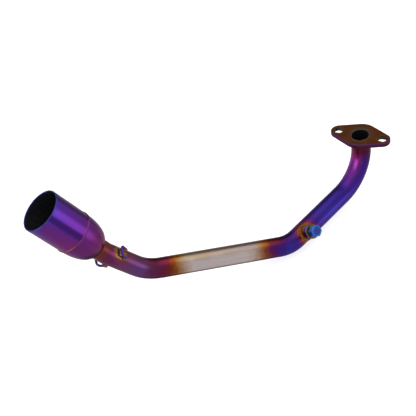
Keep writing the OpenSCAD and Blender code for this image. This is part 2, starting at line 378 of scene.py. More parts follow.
def tube_finish():
    """Tube skin: tints by run, unlike on the inside and outside of the bends, with rings of heat
    round the bung and the hooks' feet. The inside's bright magenta in the first bend is partly
    a painted highlight over its heat tint."""
    f = Finish("tint_tube", 0.24)
    u, v = f.uv()
    wobble = f.noise(f.coords.outputs["Object"], 45.0, 3.0)
    fine = f.noise(f.coords.outputs["Object"], 260.0, 2.0)
    shift = f.math("ADD", f.math("MULTIPLY_ADD", wobble, 0.016, -0.008),
                   f.math("MULTIPLY_ADD", fine, 0.004, -0.002))
    place = f.math("DIVIDE", f.math("ADD", v, shift), END / 1000)
    outer = f.ramp(place, tint_stops([
        (0, (0.13, 0.038, 0.028)), (14, (0.15, 0.025, 0.035)), (20, (0.14, 0.015, 0.064)),
        (30, (0.11, 0.022, 0.23)), (45, (0.10, 0.031, 0.39)), (75, (0.10, 0.038, 0.45)),
        (95, (0.080, 0.038, 0.44)), (130, (0.080, 0.053, 0.55)), (152, (0.10, 0.042, 0.44)),
        (158, (0.11, 0.022, 0.29)), (190, (0.075, 0.028, 0.35)), (205, (0.075, 0.048, 0.49)),
        (214, (0.075, 0.031, 0.39)), (221, (0.12, 0.025, 0.28)), (228, (0.19, 0.025, 0.15)),
        (235, (0.35, 0.069, 0.059)), (242, (0.54, 0.25, 0.11)), (249, (0.76, 0.51, 0.39)),
        (256, (0.92, 0.74, 0.64)), (264, (0.97, 0.85, 0.81)), (330, (0.97, 0.85, 0.83)),
        (336, (0.87, 0.66, 0.59)), (341, (0.72, 0.52, 0.38)), (347, (0.62, 0.31, 0.14)),
        (354, (0.41, 0.12, 0.017)), (361, (0.27, 0.037, 0.033)), (368, (0.23, 0.027, 0.083)),
        (382, (0.20, 0.038, 0.13)), (403, (0.22, 0.086, 0.31)), (431, (0.28, 0.075, 0.21)),
        (446, (0.23, 0.038, 0.16)), (461, (0.28, 0.055, 0.055))]))
    # inside of the bends: heat tint; its bright magenta from 30 to 58 mm of run is partly a painted highlight
    inner = f.ramp(place, tint_stops([
        (0, (0.13, 0.038, 0.028)), (14, (0.17, 0.025, 0.038)), (22, (0.22, 0.023, 0.065)),
        (30, (0.42, 0.032, 0.22)), (41, (0.56, 0.072, 0.54)), (48, (0.50, 0.085, 0.66)),
        (58, (0.36, 0.060, 0.52)), (75, (0.18, 0.040, 0.42)), (95, (0.075, 0.035, 0.38)),
        (152, (0.080, 0.042, 0.42)), (158, (0.13, 0.022, 0.18)), (190, (0.13, 0.029, 0.20)),
        (207, (0.11, 0.026, 0.25)), (214, (0.20, 0.021, 0.13)), (221, (0.30, 0.039, 0.071)),
        (228, (0.43, 0.058, 0.032)), (235, (0.72, 0.21, 0.027)), (242, (0.74, 0.38, 0.16)),
        (249, (0.73, 0.52, 0.40)), (256, (0.74, 0.59, 0.53)), (336, (0.77, 0.57, 0.37)),
        (341, (0.78, 0.48, 0.23)),
        (347, (0.75, 0.30, 0.059)), (354, (0.62, 0.12, 0.021)), (361, (0.43, 0.046, 0.090)),
        (368, (0.34, 0.038, 0.10)), (382, (0.25, 0.046, 0.10)), (403, (0.25, 0.075, 0.18)),
        (424, (0.31, 0.10, 0.19)), (446, (0.28, 0.075, 0.069)), (461, (0.38, 0.080, 0.062))]))
    bent_side = f.math("ADD", u, f.math("MULTIPLY_ADD", wobble, 0.12, -0.115))
    side = f.math("COSINE", f.math("MULTIPLY", bent_side, 2 * math.pi))
    colour = f.mix(f.spread(side, 0.25, 0.85, smooth=True), outer, inner)
    rough_foot = f.math("MULTIPLY_ADD", fine, 0.006, -0.003)
    for foot, rings in ((BUNG_FOOT, BUNG_RINGS), (HOOK_FOOT["upper"], HOOK_RINGS), (HOOK_FOOT["lower"], HOOK_RINGS)):
        reach = f.math("ADD", f.distance(foot), rough_foot)
        top = rings[-1][0] * 1.5
        ring = f.ramp(f.math("DIVIDE", reach, top), [(r / top, c) for r, c in rings])
        colour = f.mix(f.spread(reach, rings[-1][0] * 0.86, top * 0.92, 1.0, 0.0, smooth=True), colour, ring)
    streaks = f.noise(f.round_vector(1.0, 0.45), 45.0, 3.0, 0.55)
    colour = f.mix(1.0, colour, f.ramp(streaks, [(0.3, (0.80, 0.80, 0.82)), (0.7, (1.0, 1.0, 1.0))]), "MULTIPLY")
    rough = f.spread(streaks, 0.25, 0.75, 0.20, 0.32)
    return f.finish(colour, rough, brushed_heights(f), 0.00004)


def tail_finish(name, outer, inner, lo, hi, bands=False):
    """Sheet metal of the tail: a tint along the run from lo to hi that differs on the two sides."""
    f = Finish(name, 0.24)
    u, v = f.uv()
    wobble = f.noise(f.coords.outputs["Object"], 38.0, 3.0)
    place = f.spread(f.math("ADD", v, f.math("MULTIPLY_ADD", wobble, 0.008, -0.004)), lo / 1000, hi / 1000)
    bent_side = f.math("ADD", u, f.math("MULTIPLY_ADD", wobble, 0.08, 0.02))
    side = f.math("COSINE", f.math("MULTIPLY", bent_side, 2 * math.pi))
    colour = f.mix(f.spread(side, 0.15, 0.75, smooth=True), f.ramp(place, outer), f.ramp(place, inner))
    streaks = f.noise(f.round_vector(1.0, 0.5), 40.0, 3.0, 0.55)
    colour = f.mix(1.0, colour, f.ramp(streaks, [(0.3, (0.82, 0.82, 0.84)), (0.7, (1.0, 1.0, 1.0))]), "MULTIPLY")
    # darker lengthwise bands on the sleeve, the dark plum one painted shade
    if bands:
        colour = sleeve_bands(f, colour)
    return f.finish(colour, f.spread(streaks, 0.25, 0.75, 0.20, 0.30), brushed_heights(f, 0.8), 0.00004)


def sleeve_bands(f, colour):
    """Two long darker bands round the sleeve, with ragged edges: an indigo one, and a dark plum one that is painted
    shade along one side of the sleeve.
    """
    u = f.uv()[0]
    wobble = f.noise(f.round_vector(1.0, 3.0), 3.0, 2.0)
    place = f.math("FRACT", f.math("ADD", u, f.math("MULTIPLY_ADD", wobble, 0.03, 0.985)))
    for middle, half, tone in ((BAND_INDIGO, 0.034, (0.46, 0.52, 0.58)), (PLUM_SHADE_BAND, 0.045, (0.55, 0.48, 0.42))):
        wrapped = f.math("FRACT", f.math("ADD", f.math("SUBTRACT", place, middle), 0.5))
        away = f.math("ABSOLUTE", f.math("SUBTRACT", wrapped, 0.5))
        amount = f.spread(away, half * 0.25, half, 1.0, 0.0, smooth=True)
        colour = f.mix(amount, colour, f.mix(1.0, colour, tone, "MULTIPLY"))
    return colour


def bore_shade_finish():
    """Near-black painted shade over steel inside the tube, the reducer and the sleeve, with faint spots."""
    f = Finish("painted_shade_inside", 0.62, metallic=0.35)
    spots = f.noise(f.coords.outputs["Object"], 190.0, 5.0, 0.65)
    colour = f.ramp(spots, [(0.30, (0.004, 0.004, 0.005)), (0.55, (0.010, 0.009, 0.012)),
                            (0.80, (0.034, 0.030, 0.036))])
    return f.finish(colour, f.spread(spots, 0.3, 0.8, 0.72, 0.45), [spots], 0.0002)


def weld_finish(name, stops, scale=90.0):
    """Bead whose tint wanders from straw through orange to violet."""
    f = Finish(name, 0.34)
    wander = f.noise(f.coords.outputs["Object"], scale, 3.0, 0.6)
    grain = f.noise(f.coords.outputs["Object"], 900.0, 2.0)
    colour = f.ramp(f.spread(wander, 0.28, 0.72), stops)
    return f.finish(colour, f.spread(grain, 0.2, 0.8, 0.26, 0.44), [grain], 0.00004)


def flange_finish():
    """Sealing face: copper brown in slow clouds, more golden round the port and the stud holes."""
    f = Finish("tint_flange", 0.40)
    obj = f.coords.outputs["Object"]
    cloud = f.noise(obj, 42.0, 4.0, 0.6)
    far = f.math("ADD", f.distance((0, 0, 0)), f.math("MULTIPLY_ADD", cloud, 0.010, -0.005))
    colour = f.ramp(f.spread(far, 0.012, 0.042), [
        (0.0, (0.22, 0.13, 0.05)), (0.2, (0.24, 0.085, 0.028)), (0.5, (0.26, 0.065, 0.024)),
        (1.0, (0.24, 0.085, 0.030))])
    for s in (STUD_REACH / 1000, -STUD_REACH / 1000):
        stud = (s * math.cos(STUD_LINE), s * math.sin(STUD_LINE), 0)
        colour = f.mix(f.math("MULTIPLY", f.near(stud, 0.006, 0.0105), 0.7), colour, (0.24, 0.13, 0.05))
    grain = f.noise(f.scaled(obj, (1.0, 1.0, 0.3)), 700.0, 3.0, 0.7)
    colour = f.mix(1.0, colour, f.ramp(cloud, [(0.3, (0.72, 0.70, 0.72)), (0.7, (1.08, 1.0, 0.96))]), "MULTIPLY")
    heights = [grain, f.math("MULTIPLY", cloud, 2.0)]
    return f.finish(colour, f.spread(grain, 0.2, 0.8, 0.34, 0.52), heights, 0.00006)


def flange_edge_finish():
    """Plate's rim: wine red near the underside, dull violet near the sealing face."""
    f = Finish("tint_flange_edge", 0.34)
    obj = f.coords.outputs["Object"]
    cloud = f.noise(obj, 90.0, 3.0)
    split = f.tree.nodes.new("ShaderNodeSeparateXYZ")
    f.link(obj, split.inputs[0])
    height = f.math("MULTIPLY_ADD", cloud, 0.0024, f.math("ADD", split.outputs["Z"], -0.0012))
    colour = f.ramp(f.spread(height, -0.0060, 0.0), [
        (0.0, (0.15, 0.018, 0.028)), (0.45, (0.13, 0.022, 0.060)), (0.7, (0.11, 0.034, 0.16)),
        (1.0, (0.15, 0.060, 0.20))])
    marks = f.noise(f.scaled(obj, (1.0, 1.0, 0.25)), 900.0, 2.0)
    return f.finish(colour, f.spread(marks, 0.2, 0.8, 0.28, 0.42), [marks], 0.00003)


def plain_tint(name, stops, scale=60.0, rough=(0.22, 0.34)):
    """Small turned part with a slowly wandering tint and fine machining marks."""
    f = Finish(name, 0.28)
    wander = f.noise(f.coords.outputs["Object"], scale, 3.0)
    marks = f.noise(f.coords.outputs["Object"], 1500.0, 2.0)
    colour = f.ramp(f.spread(wander, 0.3, 0.7), stops)
    return f.finish(colour, f.spread(marks, 0.2, 0.8, *rough), [marks], 0.00002)


def plug_finish():
    """Hexagon plug: bright blue flats, a lighter chamfer and a violet middle of the face."""
    f = Finish("tint_plug", 0.24)
    wander = f.noise(f.coords.outputs["Object"], 170.0, 3.0)
    flats = f.ramp(f.spread(wander, 0.3, 0.7), [
        (0.0, (0.02, 0.10, 0.55)), (0.6, (0.03, 0.20, 0.72)), (1.0, (0.08, 0.08, 0.50))])
    top = BUNG_C + BUNG_N * (BUNG_SEAT + WASHER_T + PLUG_COLLAR + PLUG_HEAD)
    far = f.math("ADD", f.distance(tuple(top / 1000)), f.math("MULTIPLY_ADD", wander, 0.0012, -0.0006))
    face = f.ramp(f.spread(far, 0.0, 0.0072), [
        (0.0, (0.12, 0.07, 0.52)), (0.5, (0.06, 0.12, 0.62)), (0.78, (0.03, 0.17, 0.68)),
        (0.88, (0.12, 0.42, 0.85)), (1.0, (0.05, 0.22, 0.72))])
    colour = f.mix(f.spread(far, 0.0066, 0.0084, 0.0, 1.0, smooth=True), face, flats)
    turned_marks = f.noise(f.round_vector(0.1, 80.0), 30.0, 2.0)
    return f.finish(colour, f.spread(wander, 0.3, 0.7, 0.18, 0.32), [turned_marks], 0.00002)


def bung_finish():
    """Turned boss: gold and brown at the weld, then blue, with a lilac rim."""
    f = Finish("tint_bung", 0.26)
    v = f.uv()[1]
    wander = f.noise(f.coords.outputs["Object"], 150.0, 3.0)
    place = f.spread(f.math("ADD", v, f.math("MULTIPLY_ADD", wander, 0.003, -0.0015)), 0.011, 0.0247)
    colour = f.ramp(place, [
        (0.0, (0.30, 0.13, 0.05)), (0.35, (0.36, 0.12, 0.04)), (0.55, (0.20, 0.04, 0.08)),
        (0.72, (0.08, 0.03, 0.24)), (0.9, (0.10, 0.08, 0.46)), (1.0, (0.26, 0.24, 0.52))])
    marks = f.noise(f.round_vector(0.15, 60.0), 30.0, 2.0)
    return f.finish(colour, f.spread(marks, 0.2, 0.8, 0.2, 0.34), [marks], 0.00002)


tube_mat = tube_finish()
# painted shade: near-black colour for the insides of the tube, the reducer and the sleeve
bore_shade_mat = bore_shade_finish()
dome_mat = tail_finish("tint_dome", [
    (0.0, (0.34, 0.08, 0.14)), (0.10, (0.28, 0.05, 0.22)), (0.4, (0.25, 0.04, 0.26)), (1.0, (0.25, 0.04, 0.28))], [
    (0.0, (0.40, 0.13, 0.12)), (0.12, (0.38, 0.07, 0.20)), (0.4, (0.32, 0.05, 0.27)), (1.0, (0.25, 0.045, 0.40))],
    TAIL_RUN + NECK, TAIL_RUN + SEAM_AT)
sleeve_mat = tail_finish("tint_sleeve", [
    (0.0, (0.32, 0.05, 0.30)), (0.5, (0.29, 0.045, 0.34)), (0.975, (0.22, 0.05, 0.42)), (1.0, (0.10, 0.08, 0.56))], [
    (0.0, (0.24, 0.045, 0.42)), (0.4, (0.22, 0.05, 0.54)), (0.975, (0.18, 0.06, 0.60)), (1.0, (0.09, 0.09, 0.62))],
    TAIL_RUN + SEAM_AT, TAIL_RUN + MOUTH_AT, bands=True)
rim_mat = plain_tint("tint_rim", [(0.0, (0.06, 0.08, 0.52)), (1.0, (0.10, 0.12, 0.62))])
ring_mat = plain_tint("tint_tube_end", [(0.0, (0.20, 0.13, 0.10)), (1.0, (0.34, 0.24, 0.18))], 200.0, (0.3, 0.45))
seam_mat = tail_finish("tint_seam", [(0.0, (0.42, 0.09, 0.16)), (1.0, (0.46, 0.13, 0.12))],
                       [(0.0, (0.34, 0.06, 0.34)), (1.0, (0.40, 0.07, 0.36))],
                       TAIL_RUN + SEAM_AT - 2, TAIL_RUN + SEAM_AT + 2)
weld_mat = weld_finish("tint_weld", [
    (0.0, (0.26, 0.05, 0.14)), (0.35, (0.38, 0.11, 0.04)), (0.7, (0.42, 0.19, 0.05)), (1.0, (0.24, 0.11, 0.06))])
gold_mat = weld_finish("tint_gold_bead", [
    (0.0, (0.30, 0.09, 0.08)), (0.5, (0.42, 0.21, 0.08)), (1.0, (0.20, 0.07, 0.26))], 160.0)
flange_mat = flange_finish()
edge_mat = flange_edge_finish()
hole_mat = plain_tint("hole_wall", [(0.0, (0.10, 0.08, 0.045)), (1.0, (0.17, 0.12, 0.07))], rough=(0.35, 0.5))
under_mat = plain_tint("tint_flange_under", [(0.0, (0.22, 0.03, 0.04)), (1.0, (0.26, 0.04, 0.09))],
                       rough=(0.34, 0.48))
bung_mat = bung_finish()
washer_mat = plain_tint("tint_washer", [
    (0.0, (0.34, 0.15, 0.05)), (0.5, (0.42, 0.22, 0.07)), (1.0, (0.22, 0.08, 0.06))], 140.0, (0.30, 0.44))
plug_mat = plug_finish()
hook_mat = plain_tint("tint_hook", [
    (0.0, (0.16, 0.05, 0.44)), (0.5, (0.12, 0.06, 0.50)), (1.0, (0.26, 0.04, 0.24))], 150.0)


# ---------------------------------------------------------------- pieces
def header_tube():
    """Tube skin and bore carried along the bend table, closed by two flat rings."""
    p, t, s, run = tube_path(TUBE_SET, NECK + SHEET + 3.0)
    skin = carried(p, t, s, TUBE_R, run, 128)
    bore = carried(p, t, s, BORE_R, run, 128)
    rings = []
    for k in (0, -1):
        r = line((TUBE_R, 0), (BORE_R, 0), 4)[:, 0]
        rep = [np.repeat(a[k][None], 4, 0) for a in (p, t, s)]
        rings.append(carried(*rep, r, np.repeat(run[k], 4), 128))
    return make_piece("header_tube_skin", [skin, bore, *rings], "pipe", TUBE_NODES,
                      [tube_mat, bore_shade_mat, ring_mat], pick=[0, 1, 2, 0])


def tail_sleeve():
    """Sleeve wall: a straight tube with a rounded mouth, turned about the tail's axis."""
    lo, hi = SEAM_AT + 1.2, MOUTH_AT
    r1, r0, e = SLEEVE_R, SLEEVE_R - SHEET, SHEET / 2
    out = line((r1, lo), (r1, hi - e), 24)
    lip = arc(r1 - e, hi - e, e, 0, 90, 6)
    lip_in = arc(r0 + e, hi - e, e, 90, 180, 6)
    inn = line((r0, hi - e), (r0, lo), 14)
    end = line((r0, lo), (r1, lo), 3)
    args = (TAIL_P, TAIL_T, TAIL_C, TAIL_RUN)
    grids = [turned(g, *args, around=160) for g in (out, lip, lip_in, inn, end)]
    return make_piece("tail_sleeve_shell", grids, "pipe", ["tail_sleeve"],
                      [sleeve_mat, rim_mat, bore_shade_mat], pick=[0, 1, 1, 2, 2])


def reducer_dome():
    """Quarter of an ellipse turned about the tail's axis: r = tube + (sleeve - tube) cos a,
    and z falls with sin a."""
    a = np.linspace(0, np.pi / 2, 40)
    top = SEAM_AT - 1.2

    def curve(w):
        """Rows (r, z) of the ellipse, w inside the outer skin."""
        return np.stack([TUBE_R + (SLEEVE_R - w - TUBE_R) * np.cos(a),
                         NECK + DOME_L - (DOME_L - w) * np.sin(a)], 1)

    outer = np.concatenate([line((SLEEVE_R, top), (SLEEVE_R, NECK + DOME_L), 3)[:-1], curve(0)])
    in_r = SLEEVE_R - SHEET
    inner = np.concatenate([line((in_r, top), (in_r, NECK + DOME_L), 3)[:-1], curve(SHEET)])
    args = (TAIL_P, TAIL_T, TAIL_C, TAIL_RUN)
    ends = [line(outer[0], inner[0], 3), line(outer[-1], inner[-1], 3)]
    grids = [turned(g, *args, around=160) for g in (outer, inner, *ends)]
    return make_piece("reducer_dome_shell", grids, "pipe", ["reducer_dome"],
                      [dome_mat, bore_shade_mat], pick=[0, 1, 0, 0])


def seam_weld():
    """Low round crown over the seam, with faint crescents."""
    r0, w, rise = SLEEVE_R - SHEET, 1.2, 0.7
    k = np.linspace(0, 1, 15)
    crown = np.stack([SLEEVE_R + rise * np.sin(np.pi * k), SEAM_AT + w * (2 * k - 1)], 1)

    def crests(r, z, f):
        """Radius with crescents, which fade out where the crown meets the sheet."""
        return r + ripple(f * SLEEVE_R, (z - SEAM_AT) / w, 1.3, 0.16) * np.clip((r - SLEEVE_R) / rise, 0, 1)

    args = (TAIL_P, TAIL_T, TAIL_C, TAIL_RUN)
    grids = [turned(crown, *args, around=480, shape=crests)]
    for g in (line((SLEEVE_R, SEAM_AT + w), (r0, SEAM_AT + w), 2), line((r0, SEAM_AT + w), (r0, SEAM_AT - w), 3),
              line((r0, SEAM_AT - w), (SLEEVE_R, SEAM_AT - w), 2)):
        grids.append(turned(g, *args, around=480))
    return make_piece("seam_weld_bead", grids, "pipe", ["seam_weld"],
                      [seam_mat, bore_shade_mat], pick=[0, 0, 1, 0])


def fillet_bead(name, node, origin, axis, side, leg, around=420):
    """Rounded fillet round the tube: a quarter bulge from (r + leg, 0) to (r, leg), with crescents."""
    r = TUBE_R
    a = np.radians(np.linspace(0, 90, 14))
    face = np.stack([r + leg * np.cos(a) ** 1.35, leg * np.sin(a) ** 1.35], 1)
    foot = line((r, leg), (r, 0), 3)
    base = line((r, 0), (r + leg, 0), 3)

    def crests(rr, z, f):
        """Radius with crescents, which fade out at both toes."""
        across = (rr - r - z) / leg
        return rr + ripple(f * r, across, 1.9, 0.30) * np.clip(rr - r, 0, 0.5) * np.clip(z, 0, 0.5) * 4

    grids = [turned(face, origin, axis, side, around=around, shape=crests)]
    grids += [turned(g, origin, axis, side, around=around) for g in (foot, base)]
    return make_piece(name, grids, "pipe", [node], [weld_mat], sharp=70)


def outline(grow, n=24):
    """Plate outline in its own axes: middle disc and two ears joined by common tangents."""
    mid_r, ear_r, reach = PLATE_MID_R + grow, PLATE_EAR_R + grow, STUD_REACH
    lean = math.asin((mid_r - ear_r) / reach)
    ear = np.linspace(-math.pi / 2 + lean, math.pi / 2 - lean, n)
    mid = np.linspace(math.pi / 2 - lean, math.pi / 2 + lean, n)
    right = np.stack([reach + ear_r * np.cos(ear), ear_r * np.sin(ear)], 1)
    top = np.stack([mid_r * np.cos(mid), mid_r * np.sin(mid)], 1)
    return right, top


def flange_plate():
    """Flat plate: two faces in three fans of rays from each hole to the outline, a rounded rim,
    a tapered port mouth and two stud holes with broken edges."""
    e, cut = 0.7, 18.5  # the rim's rounding, and where the ears' fans meet the middle one
    right, top = outline(-e)
    ends = sorted(map(tuple, np.array([right[-1], top[0]])))
    y_cut = float(np.interp(cut, *zip(*ends)))

    def ray_fan(centre, r0, ring):
        """P(s, k) = (1 - s) circle_k + s boundary_k, both at the same bearing from the centre."""
        inner = centre + unit(ring - centre) * r0
        s = np.linspace(0, 1, 9)[:, None, None]
        return (1 - s) * inner + s * ring

    def around(first, second):
        """Half of a ring and its half turn, closed."""
        return np.concatenate([first, second, -first, -second, first[:1]])

    steps = np.linspace(-y_cut, y_cut, 13)
    corner = np.array([[cut, -y_cut]])
    seam = np.stack([np.full(13, cut), steps], 1)
    ear = np.concatenate([corner, right, seam[::-1]])
    mid = np.concatenate([seam, top, -seam, -top, corner])
    stud, mirror = np.array([STUD_REACH, 0.0]), np.array([-1.0, 1.0])
    wide_r = STUD_R + STUD_BREAK
    fans = [ray_fan(stud, wide_r, ear), ray_fan(-stud, wide_r, ear * mirror),
            ray_fan(np.zeros(2), TUBE_R + TUBE_SET, mid)]
    low_mid = ray_fan(np.zeros(2), TUBE_R, mid)
    c, s = math.cos(STUD_LINE), math.sin(STUD_LINE)
    spin = np.array([[c, -s], [s, c]])

    def flat(fan, z):
        """Grid of a flat fan turned to the stud line, at height z."""
        xy = fan @ spin.T
        return np.concatenate([xy, np.full((*xy.shape[:2], 1), z)], 2), np.zeros((*xy.shape[:2], 2))

    def wall(rows):
        """Grid of rings (points, z), turned to the stud line."""
        g = np.stack([np.concatenate([xy @ spin.T, np.full((len(xy), 1), z)], 1) for xy, z in rows])
        return g, np.zeros((*g.shape[:2], 2))

    grids = [flat(g, 0.0) for g in fans] + [flat(g, -FLANGE_T) for g in (fans[0], fans[1], low_mid)]
    ring = around(right, top)
    out = unit(around(*outline(0.0)) - ring)
    a = np.radians(np.linspace(0, 90, 6))
    rim = [(e * math.sin(x), -e * (1 - math.cos(x))) for x in a]
    rim += [(e * math.cos(x), -FLANGE_T + e - e * math.sin(x)) for x in a]
    grids.append(wall([(ring + out * g, z) for g, z in rim]))
    port = [(TUBE_R + TUBE_SET, 0), (TUBE_R, -TUBE_SET), (TUBE_R, -FLANGE_T)]
    hole = [(wide_r, 0), (STUD_R, -STUD_BREAK), (STUD_R, -FLANGE_T + STUD_BREAK), (wide_r, -FLANGE_T)]
    for centre, prof, bound in ((np.zeros(2), port, mid), (stud, hole, ear), (-stud, hole, ear * mirror)):
        way = unit(bound - centre)
        grids.append(wall([(centre + way * r, z) for r, z in prof]))
    return make_piece("flange_plate_tinted", grids, "pipe", ["flange_plate"],
                      [flange_mat, edge_mat, under_mat, hole_mat], sharp=28, pick=[0, 0, 0, 2, 2, 2, 1, 3, 3, 3])


def saddle(r, f, out=TUBE_R):
    """Height over the tube's centre line where a round of radius r meets the tube:
    sqrt(R^2 - (r sin f)^2)."""
    return np.sqrt(out ** 2 - (r * np.sin(f)) ** 2)


def sensor_bung():
    """Turned boss: its foot follows the tube's saddle, its bore carries a fine screw thread."""
    f = np.linspace(0, 2 * np.pi, 129)[None]
    k = np.linspace(0, 1, 12)[:, None]
    up = np.cross(BUNG_N, B_T)

    def wrap(r, z):
        """P = centre + z normal + r (cos f heading + sin f up), with UV (f / turn, z)."""
        r, z, ff = np.broadcast_arrays(r, z, f)
        g = BUNG_C + z[..., None] * BUNG_N + r[..., None] * (np.cos(ff)[..., None] * B_T + np.sin(ff)[..., None] * up)
        return g, np.stack([ff / (2 * np.pi), z / 1000], -1)

    rim_z, thread_r, foot_r = BUNG_SEAT - BUNG_BREAK, 6.05, 6.09
    wall = wrap(BUNG_R, saddle(BUNG_R, f) * (1 - k) + rim_z * k)
    slope, drop = np.linspace(0, 1, 3)[:, None], np.linspace(0, 1, 4)[:, None]
    edge = wrap(BUNG_R - BUNG_BREAK * slope, rim_z + BUNG_BREAK * slope)
    top = wrap(line((BUNG_R - BUNG_BREAK, 0), (6.5, 0), 4)[:, :1], BUNG_SEAT)
    z = np.linspace(BUNG_SEAT, BUNG_FLOOR, 110)[:, None]
    fade = np.clip((BUNG_SEAT - z) / 0.8, 0, 1)
    screw = np.abs(((z / THREAD_P - f / (2 * np.pi)) % 1.0) - 0.5) * 2
    bore = wrap(thread_r + 0.45 * (1 - fade) + 0.42 * screw * fade, z)
    base_r = foot_r + (BUNG_R - foot_r) * k
    base = wrap(base_r, saddle(base_r, f))
    link = wrap(foot_r, BUNG_FLOOR + (saddle(foot_r, f) - BUNG_FLOOR) * drop)
    return make_piece("sensor_bung_turned", [wall, edge, top, bore, base, link], "pipe", ["sensor_bung"],
                      [bung_mat], sharp=40)


def bung_weld():
    """Bead carried round the saddle where bung and tube meet, its round section lumped by crescents."""
    f = np.linspace(0, 2 * np.pi, 361)
    up = np.cross(BUNG_N, B_T)
    r = BUNG_R + 0.3
    spoke = np.cos(f)[:, None] * B_T + np.sin(f)[:, None] * up
    path = BUNG_C + r * spoke + (saddle(r, f) + 0.3)[:, None] * BUNG_N
    head = unit(np.gradient(path, axis=0))
    head[0] = head[-1] = unit(head[1] + head[-2])
    out = unit(spoke)
    side = unit(out - (out * head).sum(1)[:, None] * head)
    a = np.linspace(0, 2 * np.pi, 25)
    radius = 1.75 * (1 + ripple((f * r)[:, None], np.cos(a - 0.8)[None], 1.9, 0.16))
    grid = carried(path, head, side, radius, f * r, 24)
    return make_piece("bung_weld_bead", [grid], "pipe", ["bung_weld"], [weld_mat], sharp=70)


def plug_washer():
    """Folded sealing washer: a ring with round edges and a shallow groove."""
    z0, t, ri, ro = BUNG_SEAT, WASHER_T, WASHER_IN, WASHER_OUT
    prof = np.concatenate([arc(ro - 0.6, z0 + 0.6, 0.6, -90, 0, 6), arc(ro - 0.6, z0 + t - 0.6, 0.6, 0, 90, 6),
                           np.array([[8.0, z0 + t - 0.12], [7.5, z0 + t - 0.2], [7.0, z0 + t]]),
                           arc(ri + 0.4, z0 + t - 0.4, 0.4, 90, 180, 5), arc(ri + 0.4, z0 + 0.4, 0.4, 180, 270, 5),
                           np.array([[ro - 0.6, z0]])])
    return make_piece("plug_washer_ring", [turned(prof, BUNG_C, BUNG_N, B_T, around=96)], "washer",
                      ["plug_washer"], [washer_mat], sharp=50)


def bung_plug():
    """Hexagon head, turned collar and threaded shank: turned shapes, the head's radius cut to the
    flats and the shank's by the thread."""
    z0, n = BUNG_SEAT + WASHER_T, 240
    under, top = z0 + PLUG_COLLAR, z0 + PLUG_COLLAR + PLUG_HEAD
    corner_r, collar_r, neck_r, tip_z = 8.09, 6.9, 5.95, z0 - SHANK_L

    def cut(r, _, f):
        """The smaller of the radius and the flats' apothem / cos of the angle from the nearest flat."""
        return np.minimum(r, PLUG_APOTHEM / np.cos((f + math.pi / 6) % (math.pi / 3) - math.pi / 6))

    def screw(r, z, f):
        """Radius less the thread's depth between its crests, faded in at both ends."""
        wave = np.abs(((z / THREAD_P - f / (2 * np.pi)) % 1.0) - 0.5) * 2
        thread = (1 - wave) * np.clip((z0 - 1.6 - z) / 0.4, 0, 1) * np.clip((z - tip_z) / 0.3, 0, 1)
        return r - THREAD_DEPTH * thread - THREAD_DEPTH * np.clip(((z0 - 10.4) - z) / 0.5, 0, 1)

    prof = np.concatenate([
        line((collar_r, under), (7.5, under), 2), line((7.6, under + 0.05), (corner_r, under + 0.35), 6),
        line((corner_r, under + 0.35), (corner_r, top - 0.9), 8), line((corner_r, top - 0.85), (6.5, top - 0.05), 12),
        np.array([[6.35, top]]), line((6.2, top), (5.2, top), 3), line((5.0, top - 0.05), (4.2, top - 0.3), 4),
        line((4.0, top - 0.32), (0.0, top - 0.25), 6)])
    z = np.linspace(z0, tip_z, 150)
    shapes = [(prof, cut),
              (np.array([[collar_r, under], [collar_r, z0 + 0.15], [6.75, z0], [neck_r, z0]]), None),
              (np.array([[neck_r, z0], [SHANK_R, z0]]), None),
              (np.stack([np.full_like(z, SHANK_R), z], 1), screw),
              (np.array([[SHANK_R - THREAD_DEPTH, tip_z], [4.6, tip_z - 0.6], [0.0, tip_z - 0.6]]), None)]
    grids = [turned(rows, BUNG_C, BUNG_N, B_T, around=n, shape=shape) for rows, shape in shapes]
    return make_piece("bung_plug_hex", grids, "plug", ["bung_plug"], [plug_mat], sharp=25)


def hook_frame(name):
    """Middle of a spring hook's feet, the tube's heading, the way across it and the way out of it."""
    z, a = HOOKS[name]
    p, t, u = ROWS[HOOK_STRAIGHT][:3]
    n = turn(u, t, a)[0]
    off = math.sqrt((TUBE_R + WIRE_R) ** 2 - (HOOK_W / 2) ** 2)
    return p + t * z + n * off, t, np.cross(t, n), n


def spring_hook(name):
    """Round wire carried along a U: leg, quarter turn, cross wire, quarter turn, leg, with domed ends."""
    o, t, b, up = hook_frame(name)
    d, n = t * math.cos(LIFT) + up * math.sin(LIFT), up * math.cos(LIFT) - t * math.sin(LIFT)
    w, l, c = HOOK_W / 2, HOOK_L, HOOK_C
    q = np.radians(np.linspace(0, 90, 10))[1:-1]
    leg = np.stack([np.full(6, w), np.linspace(0, l - c, 6)], 1)
    corner = np.stack([w - c + c * np.cos(q), l - c + c * np.sin(q)], 1)
    bar = np.stack([np.linspace(w - c, 0, 4), np.full(4, l)], 1)
    half = np.concatenate([leg, corner, bar])
    yz = np.concatenate([half, (half * np.array([-1, 1]))[::-1][1:]])
    path = o + yz[:, :1] * b + yz[:, 1:] * d
    head = unit(np.gradient(path, axis=0))
    side = np.repeat(n[None], len(path), 0)
    dome, dome_h = np.radians(np.linspace(90, 15, 6))[:-1], WIRE_R * 0.7
    caps = []
    for k, s in ((0, -1), (-1, 1)):
        shift = (dome_h * np.cos(dome))[:, None] * head[k] * s
        pts, rad = path[k] + shift, WIRE_R * np.sin(dome)
        pts = np.concatenate([pts, path[k][None] + dome_h * head[k] * s])
        rad = np.concatenate([rad, [0.0]])
        m = len(pts)
        caps.append(carried(pts, np.repeat(head[k][None], m, 0), np.repeat(n[None], m, 0), rad, np.zeros(m), 32))
    body = carried(path, head, side, WIRE_R, np.arange(len(path)), 32)
    return make_piece(name + "_hook_wire", [body, *caps], "pipe", [name + "_spring_hook"],
                      [hook_mat], sharp=60)


